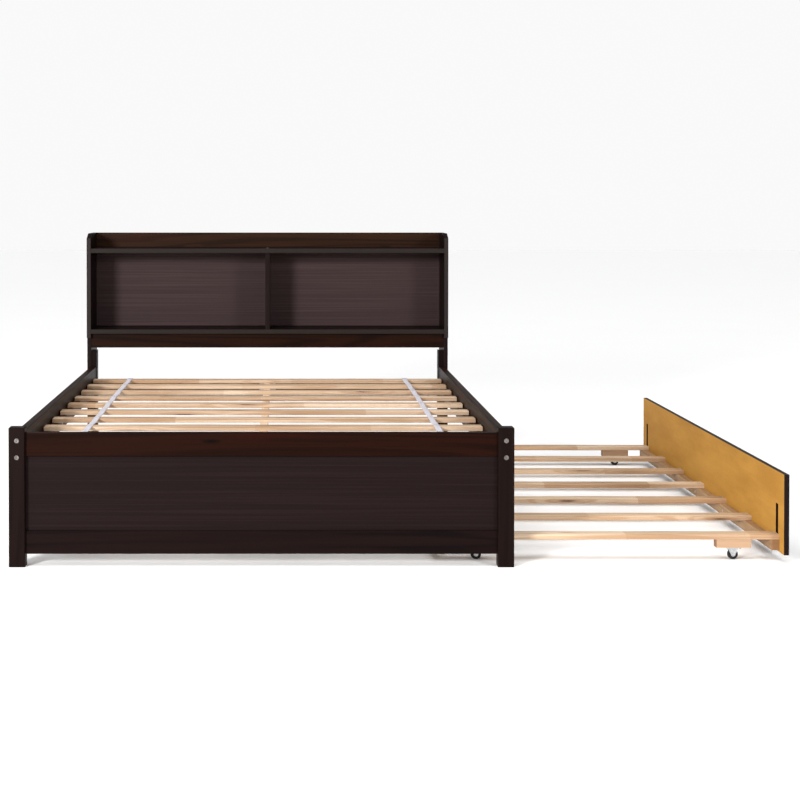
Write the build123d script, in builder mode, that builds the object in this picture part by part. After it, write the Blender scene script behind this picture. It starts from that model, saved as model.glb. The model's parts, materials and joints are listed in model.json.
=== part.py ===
"""Full-size slatted bed with an open bookcase headboard and a twin trundle on casters.

The model stands as it is used with the trundle drawn out to the right. Frame: +X is the
way the trundle pulls out, +Y runs from the foot to the head, +Z is up. The origin is the
middle of the whole outline, on the floor. All sizes are millimetres.
"""

from build123d import *
import os

# ---------------------------------------------------------------- driving dimensions
bed_width = 1440.0          # over the outer faces of the posts and head panels
inner_length = 1920.0       # foot post to headboard leg, the length of a side rail
drawn_out = 797.0           # how far the trundle stands out of its stowed place

post_side = 46.0            # foot posts are square
foot_height = 398.0
post_round = 3.0

frame_board = 24.0          # thickness of side rails, foot rails and head cross rail
side_rail_height = 89.0
side_rail_top = 380.0
foot_top_rail_height = 68.0
foot_top_rail_top = 383.0
foot_bottom_rail_height = 66.0
foot_bottom_rail_top = 102.0
foot_panel_board = 9.0
groove_depth = 8.0
groove_play = 0.3           # all round a panel in its groove
board_round = 2.0

slat_count = 10
slat_width = 58.0
slat_board = 13.0
slat_top = 342.0
slat_end_gap = 4.0
first_slat_gap = 1.5        # foot posts' rear faces to first slat
last_slat_gap = 85.0        # last slat to headboard leg
slat_round = 2.0
cleat_width = 24.0
cleat_height = 32.0
cleat_end_gap = 3.0

strap_width = 18.0
strap_board = 1.6
strap_spacing = 1082.0      # centre to centre
strap_overhang = 6.0        # past the outer edge of the end slats

beam_width = 24.0
beam_height = 44.0
head_cross_height = 64.0
saddle_sheet = 3.0
saddle_reach = 40.0
saddle_cheek = 30.0
saddle_flange_width = 64.0
saddle_flange_top = 372.0
saddle_play = 0.3

head_height = 913.0
head_side_board = 16.0
shelf_board = 18.0
head_depth_upper = 232.0    # side panel, front edge to back edge, beside the bookcase
head_step = 18.0            # the legs stand back this far from the upper front edge
head_step_height = 497.0
head_corner_run = 55.0      # sloped corner at the top front of a side panel
head_corner_drop = 19.0
leg_block_width = 22.0
leg_block_depth = 56.0
leg_block_height = 445.0
top_shelf_top = 853.0
lower_shelf_top = 531.0
shelf_front_gap = 2.0       # shelves stand back from the side panel's front edge
divider_front_gap = 6.0
apron_height = 56.0
apron_board = 18.0
apron_front_gap = 2.0
back_board = 5.0
back_set_in = 8.0           # back panel's rear face to the side panel's rear edge
back_rail_board = 16.0

bolt_radius = 3.9
bolt_bore = 4.4
bolt_head_radius = 6.6
bolt_head_bore = 7.0
bolt_head_height = 4.5
bolt_sink = 5.0             # counterbore, which leaves the head just below the face
bolt_socket = 5.0           # across the flats of the hexagon
bolt_bite = 52.0            # bolt's reach into a side rail
bolt_low = 22.0             # bolts above the rail's lower edge
bolt_high = 70.0
insert_radius = 6.8
insert_bore = 7.1
insert_length = 36.0

screw_radius = 2.2
screw_bore = 2.5
screw_head_radius = 4.2
screw_head_bore = 4.5
screw_head_height = 2.6
screw_sink = 3.0
screw_bite = 16.0           # screw's reach into the second board

trundle_width = 1010.0      # over the two lengthwise rails
panel_board = 15.0
panel_height = 233.0
panel_lift = 24.0
panel_end_gap = 3.0         # panel to post and panel to headboard leg, when stowed
panel_slot_width = 24.0
panel_slot_height = 92.0
panel_slot_depth = 8.0
panel_slot_inset = 70.0     # slot's middle from the panel's end
panel_slot_rise = 46.0      # from the panel's lower edge

trundle_slat_count = 7
trundle_slat_width = 57.0
trundle_slat_board = 14.0
trundle_slat_pitch = 295.0
trundle_rail_board = 24.0
trundle_rail_height = 31.0
caster_height = 36.0
caster_inset = 131.0        # caster centre from the rail's outer face
block_length = 101.0
block_width = 34.0
block_height = 25.0
block_set_back = 4.0        # behind the slat's front edge, so the edge throws a shadow
wheel_radius = 15.5
wheel_width = 12.0
wheel_edge = 2.0
wheel_bore = 2.8
axle_radius = 2.5
plate_length = 45.0
plate_width = 34.0
plate_sheet = 2.0
plate_hole_inset = 4.5
fork_sheet = 2.0
fork_width = 22.0
fork_play = 0.6             # wheel to cheek, each side
axle_overhang = 1.6

# ---------------------------------------------------------------- places worked out
bed_x = -drawn_out / 2
leg_y = post_side + inner_length
head_front = leg_y - head_step
head_back = head_front + head_depth_upper
foot_y = -head_back / 2
half = bed_width / 2


def at_x(distance):
    """X of a plane this far to the right of the bed's centre line."""
    return bed_x + distance


def at_y(distance):
    """Y of a plane this far behind the front face of the foot posts."""
    return foot_y + distance


post_middle = half - post_side / 2
rail_inside = post_middle - frame_board / 2
rail_outside = post_middle + frame_board / 2
rail_bottom = side_rail_top - side_rail_height
foot_rail_front = (post_side - frame_board) / 2
foot_rail_back = foot_rail_front + frame_board
post_inside = half - post_side

slat_bottom = slat_top - slat_board
slat_length = 2 * (rail_inside - slat_end_gap)
first_slat = post_side + first_slat_gap + slat_width / 2
last_slat = leg_y - last_slat_gap - slat_width / 2
slat_pitch = (last_slat - first_slat) / (slat_count - 1)

head_inside = half - head_side_board
leg_inside = head_inside - leg_block_width
shelf_front = head_front + shelf_front_gap
back_face = head_back - back_set_in - back_board

trundle_right = half + drawn_out - panel_board
trundle_left = trundle_right - trundle_width
trundle_middle = leg_y - inner_length / 2
panel_near = post_side + panel_end_gap
panel_length = inner_length - 2 * panel_end_gap
trundle_slat_bottom = caster_height + block_height
trundle_first = trundle_middle - trundle_slat_pitch * (trundle_slat_count - 1) / 2
trundle_rail_length = trundle_slat_pitch * (trundle_slat_count - 1) + trundle_slat_width
trundle_near = trundle_middle - trundle_rail_length / 2
caster_x = (trundle_left + caster_inset, trundle_right - caster_inset)
block_shift = block_set_back + block_width / 2 - trundle_slat_width / 2
caster_y = (trundle_first + block_shift, trundle_middle * 2 - trundle_first + block_shift)

sides = {"left": -1, "right": 1}
bolt_heights = (rail_bottom + bolt_low, rail_bottom + bolt_high)

os.makedirs("parts", exist_ok=True)


def save(part, label):
    """Name a finished piece and write it."""
    part.label = label
    export_step(part, f"parts/{label}.step")


def middle(low, high):
    return (low + high) / 2


def plank(plane, low, high, length, round_radius):
    """A straight piece: a rectangle between two corners of a plane, run off its normal."""
    with BuildPart() as piece:
        with BuildSketch(plane):
            with Locations((middle(low[0], high[0]), middle(low[1], high[1]))):
                RectangleRounded(high[0] - low[0], high[1] - low[1], round_radius)
        extrude(amount=length)
    return piece.part


def plank_along_x(x, y, z, round_radius=board_round):
    return plank(Plane.YZ.offset(x[0]), (y[0], z[0]), (y[1], z[1]), x[1] - x[0], round_radius)


def plank_along_y(x, y, z, round_radius=board_round):
    return plank(Plane.XZ.offset(-y[1]), (x[0], z[0]), (x[1], z[1]), y[1] - y[0], round_radius)


def plank_along_z(x, y, z, round_radius=board_round):
    return plank(Plane.XY.offset(z[0]), (x[0], y[0]), (x[1], y[1]), z[1] - z[0], round_radius)


def across(side, inner, outer):
    """The X limits of a piece between two distances from the bed's centre line."""
    return tuple(sorted((at_x(side * inner), at_x(side * outer))))


def lengthwise(near, far):
    """The Y limits of a piece between two distances from the foot."""
    return (at_y(near), at_y(far))


def face_x(x, way):
    """A sketch plane at X whose normal points to +X or -X; local x is Y, local y is Z."""
    return Plane(origin=(x, 0, 0), x_dir=(0, 1, 0), z_dir=(1, 0, 0)) if way > 0 else Plane(
        origin=(x, 0, 0), x_dir=(0, -1, 0), z_dir=(-1, 0, 0)
    )


def local(points, way):
    """Points given as (Y, Z), in the local axes of face_x."""
    return [(way * y, z) for y, z in points]


# ---------------------------------------------------------------- side rails and posts
bolt_x = {name: at_x(side * post_middle) for name, side in sides.items()}

for name, side in sides.items():
    raw_post = plank_along_z(
        across(side, post_inside, half), lengthwise(0, post_side), (0, foot_height), post_round
    )
    bores = [(bolt_x[name], height) for height in bolt_heights]
    groove_mouth = side * post_inside
    with BuildPart() as foot_post:
        add(raw_post)
        chamfer(foot_post.faces().sort_by(Axis.Z)[-1].edges(), 1.5)
        with BuildSketch(Plane.XZ.offset(-at_y(post_side))):
            with Locations(*bores):
                Circle(bolt_bore)
        extrude(amount=post_side, mode=Mode.SUBTRACT)
        with BuildSketch(Plane.XZ.offset(-at_y(bolt_sink))):
            with Locations(*bores):
                Circle(bolt_head_bore)
        extrude(amount=bolt_sink, mode=Mode.SUBTRACT)
        with BuildSketch(Plane.XY.offset(foot_bottom_rail_top - groove_depth)):
            with Locations((at_x(side * (post_inside + groove_depth / 2)), at_y(post_side / 2))):
                Rectangle(groove_depth, foot_panel_board + 2 * groove_play)
        extrude(
            amount=foot_top_rail_top - foot_top_rail_height - foot_bottom_rail_top
            + 2 * groove_depth,
            mode=Mode.SUBTRACT,
        )
    save(foot_post.part, f"{name}_foot_post")

cleat_top = slat_bottom
cleat_span = (post_side + cleat_end_gap, leg_y - cleat_end_gap)
cleat_screw_count = 7
cleat_screw_height = cleat_top - cleat_height / 2
cleat_screw_pitch = (cleat_span[1] - cleat_span[0]) / cleat_screw_count
cleat_screws = [
    (at_y(cleat_span[0] + cleat_screw_pitch * (index + 0.5)), cleat_screw_height)
    for index in range(cleat_screw_count)
]

for name, side in sides.items():
    raw_rail = plank_along_y(
        across(side, rail_inside, rail_outside),
        lengthwise(post_side, leg_y),
        (rail_bottom, side_rail_top),
    )
    inward = -side
    bores = [(bolt_x[name], height) for height in bolt_heights]
    with BuildPart() as side_rail:
        add(raw_rail)
        for end_y, run in ((at_y(post_side + insert_length), insert_length), (at_y(leg_y), insert_length)):
            with BuildSketch(Plane.XZ.offset(-end_y)):
                with Locations(*bores):
                    Circle(insert_bore)
            extrude(amount=run, mode=Mode.SUBTRACT)
        for end_y in (at_y(post_side + bolt_bite + 2), at_y(leg_y)):
            with BuildSketch(Plane.XZ.offset(-end_y)):
                with Locations(*bores):
                    Circle(bolt_bore)
            extrude(amount=bolt_bite + 2, mode=Mode.SUBTRACT)
        with BuildSketch(face_x(at_x(side * rail_inside), -inward)):
            with Locations(*local(cleat_screws, -inward)):
                Circle(screw_bore)
        extrude(amount=screw_bite + 1, mode=Mode.SUBTRACT)
    save(side_rail.part, f"{name}_side_rail")

    raw_cleat = plank_along_y(
        across(side, rail_inside - cleat_width, rail_inside),
        lengthwise(*cleat_span),
        (cleat_top - cleat_height, cleat_top),
    )
    with BuildPart() as cleat:
        add(raw_cleat)
        with BuildSketch(face_x(at_x(side * (rail_inside - cleat_width)), side)):
            with Locations(*local(cleat_screws, side)):
                Circle(screw_bore)
        extrude(amount=cleat_width, mode=Mode.SUBTRACT)
        with BuildSketch(face_x(at_x(side * (rail_inside - cleat_width)), side)):
            with Locations(*local(cleat_screws, side)):
                Circle(screw_head_bore)
        extrude(amount=screw_sink, mode=Mode.SUBTRACT)
    save(cleat.part, f"{name}_slat_cleat")

# ---------------------------------------------------------------- footboard
foot_top_rail_bottom = foot_top_rail_top - foot_top_rail_height
foot_bottom_rail_bottom = foot_bottom_rail_top - foot_bottom_rail_height
foot_span = (at_x(-post_inside), at_x(post_inside))
foot_depth = lengthwise(foot_rail_front, foot_rail_back)

for label, bottom, top, groove_bottom in (
    ("foot_top_rail", foot_top_rail_bottom, foot_top_rail_top, foot_top_rail_bottom),
    (
        "foot_bottom_rail",
        foot_bottom_rail_bottom,
        foot_bottom_rail_top,
        foot_bottom_rail_top - groove_depth,
    ),
):
    raw_rail = plank_along_x(foot_span, foot_depth, (bottom, top))
    with BuildPart() as foot_rail:
        add(raw_rail)
        with BuildSketch(Plane.XY.offset(groove_bottom)):
            with Locations((bed_x, at_y(post_side / 2))):
                Rectangle(2 * post_inside, foot_panel_board + 2 * groove_play)
        extrude(amount=groove_depth, mode=Mode.SUBTRACT)
    save(foot_rail.part, label)

panel_tongue = groove_depth - groove_play
with BuildPart() as foot_panel:
    with BuildSketch(Plane.XZ.offset(-at_y((post_side + foot_panel_board) / 2))):
        with Locations((bed_x, middle(foot_bottom_rail_top, foot_top_rail_bottom))):
            Rectangle(
                2 * (post_inside + panel_tongue),
                foot_top_rail_bottom - foot_bottom_rail_top + 2 * panel_tongue,
            )
    extrude(amount=foot_panel_board)
save(foot_panel.part, "foot_panel")

# ---------------------------------------------------------------- slats and straps
for index in range(slat_count):
    slat_y = first_slat + index * slat_pitch
    slat = plank_along_x(
        (at_x(-slat_length / 2), at_x(slat_length / 2)),
        lengthwise(slat_y - slat_width / 2, slat_y + slat_width / 2),
        (slat_bottom, slat_top),
        slat_round,
    )
    save(slat, f"bed_slat_{index + 1:02d}")

for name, side in sides.items():
    strap_x = side * strap_spacing / 2
    strap = plank_along_y(
        (at_x(strap_x - strap_width / 2), at_x(strap_x + strap_width / 2)),
        lengthwise(
            first_slat - slat_width / 2 - strap_overhang,
            last_slat + slat_width / 2 + strap_overhang,
        ),
        (slat_top, slat_top + strap_board),
        strap_board / 4,
    )
    save(strap, f"{name}_slat_strap")

# ---------------------------------------------------------------- centre beam
head_cross = plank_along_x(
    (at_x(-leg_inside), at_x(leg_inside)),
    lengthwise(leg_y, leg_y + frame_board),
    (slat_bottom - head_cross_height, slat_bottom),
)
save(head_cross, "head_cross_rail")

beam_bottom = slat_bottom - beam_height
beam_near = foot_rail_back + saddle_sheet + saddle_play
beam_far = leg_y - saddle_sheet - saddle_play
beam = plank_along_y(
    (at_x(-beam_width / 2), at_x(beam_width / 2)),
    lengthwise(beam_near, beam_far),
    (beam_bottom, slat_bottom),
)
save(beam, "centre_beam")

cheek_offset = beam_width / 2 + saddle_play + saddle_sheet / 2
saddle_floor = beam_bottom - saddle_sheet
head_flange_top = slat_bottom - 2
with BuildPart() as saddles:
    for wall_y, way, flange_top in (
        (foot_rail_back, 1, saddle_flange_top),
        (leg_y, -1, head_flange_top),
    ):
        flange = sorted((wall_y, wall_y + way * saddle_sheet))
        reach = sorted((wall_y, wall_y + way * saddle_reach))
        with BuildSketch(Plane.XZ.offset(-at_y(flange[1]))):
            with Locations((bed_x, middle(saddle_floor, flange_top))):
                Rectangle(saddle_flange_width, flange_top - saddle_floor)
        extrude(amount=saddle_sheet)
        with BuildSketch(Plane.XY.offset(saddle_floor)):
            with Locations((bed_x, at_y(middle(*reach)))):
                Rectangle(2 * cheek_offset + saddle_sheet, saddle_reach)
        extrude(amount=saddle_sheet)
        with BuildSketch(Plane.XY.offset(beam_bottom)):
            with Locations(
                (at_x(-cheek_offset), at_y(middle(*reach))),
                (at_x(cheek_offset), at_y(middle(*reach))),
            ):
                Rectangle(saddle_sheet, saddle_reach)
        extrude(amount=saddle_cheek)
save(saddles.part, "beam_saddles")

# ---------------------------------------------------------------- headboard
shelf_depth = lengthwise(shelf_front, head_back)
shelf_width = (at_x(-head_inside), at_x(head_inside))
top_shelf_bottom = top_shelf_top - shelf_board
lower_shelf_bottom = lower_shelf_top - shelf_board
back_groove = 5.0
shelf_screw_y = (shelf_front + 45.0, back_face - 45.0)
apron_front = leg_y + apron_front_gap
apron_middle = apron_front + apron_board / 2
back_rail_middle = head_back - back_rail_board / 2
side_screws = (
    [(at_y(y), top_shelf_top - shelf_board / 2) for y in shelf_screw_y]
    + [(at_y(y), lower_shelf_top - shelf_board / 2) for y in shelf_screw_y]
    + [(at_y(apron_middle), lower_shelf_bottom - apron_height / 2)]
    + [(at_y(back_rail_middle), middle(top_shelf_top, head_height))]
)
block_screw_y = leg_y + 13.0
block_screws = [(at_y(block_screw_y), height) for height in (70.0, 220.0, 369.0)]
groove_rear = back_face + back_board + groove_play

for name, side in sides.items():
    outer_face = at_x(side * half)
    inner_face = at_x(side * head_inside)
    profile = [
        (at_y(leg_y), 0),
        (at_y(leg_y), head_step_height),
        (at_y(head_front), head_step_height),
        (at_y(head_front), head_height - head_corner_drop),
        (at_y(head_front + head_corner_run), head_height),
        (at_y(head_back), head_height),
        (at_y(head_back), 0),
    ]
    with BuildPart() as head_panel:
        with BuildSketch(Plane.YZ.offset(min(outer_face, inner_face))):
            with BuildLine():
                Polyline(*profile, close=True)
            make_face()
        extrude(amount=head_side_board)
        outer_edges = head_panel.faces().sort_by(Axis.X)[0 if side < 0 else -1].edges()
        fillet(outer_edges, board_round)
        with BuildSketch(Plane.XY.offset(lower_shelf_top)):
            with Locations(
                (inner_face + side * back_groove / 2, at_y(middle(back_face - groove_play, groove_rear)))
            ):
                Rectangle(back_groove, groove_rear - back_face + groove_play)
        extrude(amount=top_shelf_bottom - lower_shelf_top, mode=Mode.SUBTRACT)
        with BuildSketch(face_x(inner_face, side)):
            with Locations(*local(side_screws, side)):
                Circle(screw_bore)
        extrude(amount=head_side_board, mode=Mode.SUBTRACT)
        with BuildSketch(face_x(outer_face - side * screw_sink, side)):
            with Locations(*local(side_screws, side)):
                Circle(screw_head_bore)
        extrude(amount=screw_sink, mode=Mode.SUBTRACT)
        with BuildSketch(face_x(inner_face, side)):
            with Locations(*local(block_screws, side)):
                Circle(screw_bore)
        extrude(amount=head_side_board - 5, mode=Mode.SUBTRACT)
    save(head_panel.part, f"{name}_head_panel")

    raw_block = plank_along_z(
        across(side, leg_inside, head_inside),
        lengthwise(leg_y, leg_y + leg_block_depth),
        (0, leg_block_height),
    )
    bores = [(bolt_x[name], height) for height in bolt_heights]
    with BuildPart() as leg_block:
        add(raw_block)
        with BuildSketch(Plane.XZ.offset(-at_y(leg_y + leg_block_depth))):
            with Locations(*bores):
                Circle(bolt_bore)
        extrude(amount=leg_block_depth, mode=Mode.SUBTRACT)
        with BuildSketch(Plane.XZ.offset(-at_y(leg_y + leg_block_depth))):
            with Locations(*bores):
                Circle(bolt_head_bore)
        extrude(amount=bolt_sink, mode=Mode.SUBTRACT)
        with BuildSketch(face_x(at_x(side * leg_inside), side)):
            with Locations(*local(block_screws, side)):
                Circle(screw_bore)
        extrude(amount=leg_block_width, mode=Mode.SUBTRACT)
        with BuildSketch(face_x(at_x(side * leg_inside), side)):
            with Locations(*local(block_screws, side)):
                Circle(screw_head_bore)
        extrude(amount=screw_sink, mode=Mode.SUBTRACT)
    save(leg_block.part, f"{name}_leg_block")

divider_screw_y = (shelf_front + 60.0, back_face - 60.0)
for label, bottom, groove_floor, screw_face, screw_way in (
    ("bookcase_top_shelf", top_shelf_bottom, top_shelf_bottom, top_shelf_top, 1),
    ("bookcase_lower_shelf", lower_shelf_bottom, lower_shelf_top - back_groove, lower_shelf_bottom, -1),
):
    raw_shelf = plank_along_x(shelf_width, shelf_depth, (bottom, bottom + shelf_board))
    sink_floor = min(screw_face, screw_face - screw_way * screw_sink)
    end_screws = [(at_y(y), bottom + shelf_board / 2) for y in shelf_screw_y]
    with BuildPart() as shelf:
        add(raw_shelf)
        with BuildSketch(Plane.XY.offset(groove_floor)):
            with Locations((bed_x, at_y(middle(back_face - groove_play, groove_rear)))):
                Rectangle(2 * head_inside, groove_rear - back_face + groove_play)
        extrude(amount=back_groove, mode=Mode.SUBTRACT)
        with BuildSketch(Plane.XY.offset(bottom)):
            with Locations(*[(bed_x, at_y(y)) for y in divider_screw_y]):
                Circle(screw_bore)
        extrude(amount=shelf_board, mode=Mode.SUBTRACT)
        with BuildSketch(Plane.XY.offset(sink_floor)):
            with Locations(*[(bed_x, at_y(y)) for y in divider_screw_y]):
                Circle(screw_head_bore)
        extrude(amount=screw_sink, mode=Mode.SUBTRACT)
        for side in sides.values():
            with BuildSketch(face_x(at_x(side * head_inside), -side)):
                with Locations(*local(end_screws, -side)):
                    Circle(screw_bore)
            extrude(amount=screw_bite + 1, mode=Mode.SUBTRACT)
    save(shelf.part, label)

raw_divider = plank_along_z(
    (at_x(-shelf_board / 2), at_x(shelf_board / 2)),
    lengthwise(head_front + divider_front_gap, back_face - groove_play),
    (lower_shelf_top, top_shelf_bottom),
    1.0,
)
with BuildPart() as divider:
    add(raw_divider)
    for start in (lower_shelf_top, top_shelf_bottom - screw_bite - 1):
        with BuildSketch(Plane.XY.offset(start)):
            with Locations(*[(bed_x, at_y(y)) for y in divider_screw_y]):
                Circle(screw_bore)
        extrude(amount=screw_bite + 1, mode=Mode.SUBTRACT)
save(divider.part, "bookcase_divider")

back_tongue = back_groove - groove_play
with BuildPart() as back_panel:
    with BuildSketch(Plane.XZ.offset(-at_y(back_face + back_board))):
        with Locations((bed_x, middle(lower_shelf_top, top_shelf_bottom))):
            Rectangle(
                2 * (head_inside + back_tongue),
                top_shelf_bottom - lower_shelf_top + 2 * back_tongue,
            )
        with Locations(
            *[
                (at_x(across_way * (head_inside + back_tongue)), corner_z)
                for across_way in (-1, 1)
                for corner_z in (top_shelf_bottom + back_tongue, lower_shelf_top - back_tongue)
            ]
        ):
            Rectangle(2 * back_tongue + groove_play, 2 * back_tongue + groove_play, mode=Mode.SUBTRACT)
    extrude(amount=back_board)
save(back_panel.part, "bookcase_back")

for label, depth, heights, screw_y in (
    (
        "headboard_top_rail",
        (head_back - back_rail_board, head_back),
        (top_shelf_top, head_height),
        back_rail_middle,
    ),
    (
        "headboard_apron",
        (apron_front, apron_front + apron_board),
        (lower_shelf_bottom - apron_height, lower_shelf_bottom),
        apron_middle,
    ),
):
    raw_rail = plank_along_x(shelf_width, lengthwise(*depth), heights)
    with BuildPart() as head_rail:
        add(raw_rail)
        for side in sides.values():
            with BuildSketch(face_x(at_x(side * head_inside), -side)):
                with Locations(*local([(at_y(screw_y), middle(*heights))], -side)):
                    Circle(screw_bore)
            extrude(amount=screw_bite + 1, mode=Mode.SUBTRACT)
    save(head_rail.part, label)

# ---------------------------------------------------------------- bolts, inserts, screws
foot_head_back = bolt_sink
leg_back = leg_y + leg_block_depth
with BuildPart() as bolts:
    spots = [(bolt_x[name], height) for name in sides for height in bolt_heights]
    for seat, tip, way in (
        (foot_head_back, post_side + bolt_bite, 1),
        (leg_back - bolt_sink, leg_y - bolt_bite, -1),
    ):
        shank = sorted((seat, tip))
        head = sorted((seat, seat - way * bolt_head_height))
        with BuildSketch(Plane.XZ.offset(-at_y(shank[1]))):
            with Locations(*spots):
                Circle(bolt_radius)
        extrude(amount=shank[1] - shank[0])
        with BuildSketch(Plane.XZ.offset(-at_y(head[1]))):
            with Locations(*spots):
                Circle(bolt_head_radius)
        extrude(amount=bolt_head_height)
        socket_depth = bolt_head_height - 1.5
        socket_from = head[0] + socket_depth if way > 0 else head[1]
        with BuildSketch(Plane.XZ.offset(-at_y(socket_from))):
            with Locations(*spots):
                RegularPolygon(bolt_socket / 2, 6, major_radius=False)
        extrude(amount=socket_depth, mode=Mode.SUBTRACT)
save(bolts.part, "frame_bolts")

with BuildPart() as inserts:
    for end in (post_side + insert_length, leg_y):
        with BuildSketch(Plane.XZ.offset(-at_y(end))):
            with Locations(*spots):
                Circle(insert_radius)
                Circle(bolt_radius + 0.2, mode=Mode.SUBTRACT)
        extrude(amount=insert_length)
save(inserts.part, "rail_inserts")

screw_sets = []
for name, side in sides.items():
    screw_sets.append((cleat_screws, at_x(side * (rail_inside - cleat_width)), side, cleat_width))
    screw_sets.append((side_screws, at_x(side * half), -side, head_side_board))
    screw_sets.append((block_screws, at_x(side * leg_inside), side, leg_block_width - 8))

with BuildPart() as frame_screws:
    for points, face, way, first_board in screw_sets:
        seat = face + way * screw_sink
        with BuildSketch(face_x(seat - way * screw_head_height, way)):
            with Locations(*local(points, way)):
                Circle(screw_head_radius)
        extrude(amount=screw_head_height)
        with BuildSketch(face_x(seat, way)):
            with Locations(*local(points, way)):
                Circle(screw_radius)
        extrude(amount=first_board - screw_sink + screw_bite)
    divider_spots = [(bed_x, at_y(y)) for y in divider_screw_y]
    for head_low, shank_low in (
        (top_shelf_top - screw_sink, top_shelf_bottom - screw_bite),
        (lower_shelf_bottom + screw_sink - screw_head_height, lower_shelf_bottom + screw_sink),
    ):
        with BuildSketch(Plane.XY.offset(head_low)):
            with Locations(*divider_spots):
                Circle(screw_head_radius)
        extrude(amount=screw_head_height)
        with BuildSketch(Plane.XY.offset(shank_low)):
            with Locations(*divider_spots):
                Circle(screw_radius)
        extrude(amount=shelf_board - screw_sink + screw_bite)
save(frame_screws.part, "frame_screws")

# ---------------------------------------------------------------- trundle
trundle_x = (at_x(trundle_left), at_x(trundle_right))
panel_inner = at_x(trundle_right)
panel_heights = (panel_lift, panel_lift + panel_height)
slot_z = panel_lift + panel_slot_rise + panel_slot_height / 2
slots = [
    (at_y(panel_near + panel_slot_inset), slot_z),
    (at_y(panel_near + panel_length - panel_slot_inset), slot_z),
]
panel_screw_bite = 10.0
rail_middle_z = trundle_slat_bottom - trundle_rail_height / 2
panel_screw_count = 5
panel_screw_pitch = trundle_rail_length / panel_screw_count
panel_screws = [
    (at_y(trundle_near + panel_screw_pitch * (index + 0.5)), rail_middle_z)
    for index in range(panel_screw_count)
]
raw_panel = plank_along_y(
    (panel_inner, panel_inner + panel_board),
    lengthwise(panel_near, panel_near + panel_length),
    panel_heights,
    1.5,
)
with BuildPart() as trundle_panel:
    add(raw_panel)
    with BuildSketch(Plane.YZ.offset(panel_inner)):
        with Locations(*slots):
            RectangleRounded(panel_slot_width, panel_slot_height, 3)
    extrude(amount=panel_slot_depth, mode=Mode.SUBTRACT)
    with BuildSketch(Plane.YZ.offset(panel_inner)):
        with Locations(*panel_screws):
            Circle(screw_bore)
    extrude(amount=panel_screw_bite + 1, mode=Mode.SUBTRACT)
save(trundle_panel.part, "trundle_front_panel")

slat_screw_x = (
    at_x(trundle_left + trundle_rail_board / 2),
    at_x(trundle_right - trundle_rail_board / 2),
)
trundle_slat_y = [trundle_first + index * trundle_slat_pitch for index in range(trundle_slat_count)]
slat_screw_offset = trundle_slat_width / 4
slat_screws = [
    (x, at_y(y + way * slat_screw_offset))
    for x in slat_screw_x
    for y in trundle_slat_y
    for way in (-1, 1)
]
slat_screw_bite = 18.0

for label, inner, outer in (
    ("trundle_front_rail", trundle_right - trundle_rail_board, trundle_right),
    ("trundle_rear_rail", trundle_left, trundle_left + trundle_rail_board),
):
    raw_rail = plank_along_y(
        (at_x(inner), at_x(outer)),
        lengthwise(trundle_near, trundle_near + trundle_rail_length),
        (trundle_slat_bottom - trundle_rail_height, trundle_slat_bottom),
        1.5,
    )
    pilots = [spot for spot in slat_screws if at_x(inner) < spot[0] < at_x(outer)]
    with BuildPart() as trundle_rail:
        add(raw_rail)
        with BuildSketch(Plane.XY.offset(trundle_slat_bottom - slat_screw_bite - 1)):
            with Locations(*pilots):
                Circle(screw_bore)
        extrude(amount=slat_screw_bite + 1, mode=Mode.SUBTRACT)
        if outer == trundle_right:
            with BuildSketch(Plane.YZ.offset(at_x(inner))):
                with Locations(*panel_screws):
                    Circle(screw_bore)
            extrude(amount=trundle_rail_board, mode=Mode.SUBTRACT)
            with BuildSketch(Plane.YZ.offset(at_x(inner))):
                with Locations(*panel_screws):
                    Circle(screw_head_bore)
            extrude(amount=screw_sink, mode=Mode.SUBTRACT)
    save(trundle_rail.part, label)

trundle_slat_top = trundle_slat_bottom + trundle_slat_board
for index, slat_y in enumerate(trundle_slat_y):
    raw_slat = plank_along_x(
        trundle_x,
        lengthwise(slat_y - trundle_slat_width / 2, slat_y + trundle_slat_width / 2),
        (trundle_slat_bottom, trundle_slat_top),
        slat_round,
    )
    own_screws = [(x, at_y(slat_y + way * slat_screw_offset)) for x in slat_screw_x for way in (-1, 1)]
    with BuildPart() as trundle_slat:
        add(raw_slat)
        with BuildSketch(Plane.XY.offset(trundle_slat_bottom)):
            with Locations(*own_screws):
                Circle(screw_bore)
        extrude(amount=trundle_slat_board, mode=Mode.SUBTRACT)
        with BuildSketch(Plane.XY.offset(trundle_slat_top - screw_sink)):
            with Locations(*own_screws):
                Circle(screw_head_bore)
        extrude(amount=screw_sink, mode=Mode.SUBTRACT)
    save(trundle_slat.part, f"trundle_slat_{index + 1}")

with BuildPart() as trundle_screws:
    with BuildSketch(Plane.XY.offset(trundle_slat_top - screw_sink)):
        with Locations(*slat_screws):
            Circle(screw_head_radius)
    extrude(amount=screw_head_height)
    with BuildSketch(Plane.XY.offset(trundle_slat_bottom - slat_screw_bite)):
        with Locations(*slat_screws):
            Circle(screw_radius)
    extrude(amount=slat_screw_bite + trundle_slat_board - screw_sink)
    rail_face = at_x(trundle_right - trundle_rail_board)
    with BuildSketch(Plane.YZ.offset(rail_face + screw_sink - screw_head_height)):
        with Locations(*panel_screws):
            Circle(screw_head_radius)
    extrude(amount=screw_head_height)
    with BuildSketch(Plane.YZ.offset(rail_face + screw_sink)):
        with Locations(*panel_screws):
            Circle(screw_radius)
    extrude(amount=trundle_rail_board - screw_sink + panel_screw_bite)
save(trundle_screws.part, "trundle_screws")

# ---------------------------------------------------------------- casters
caster_spots = {
    "foot_inner": (caster_x[0], caster_y[0]),
    "foot_outer": (caster_x[1], caster_y[0]),
    "head_inner": (caster_x[0], caster_y[1]),
    "head_outer": (caster_x[1], caster_y[1]),
}
all_casters = [(at_x(x), at_y(y)) for x, y in caster_spots.values()]

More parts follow.
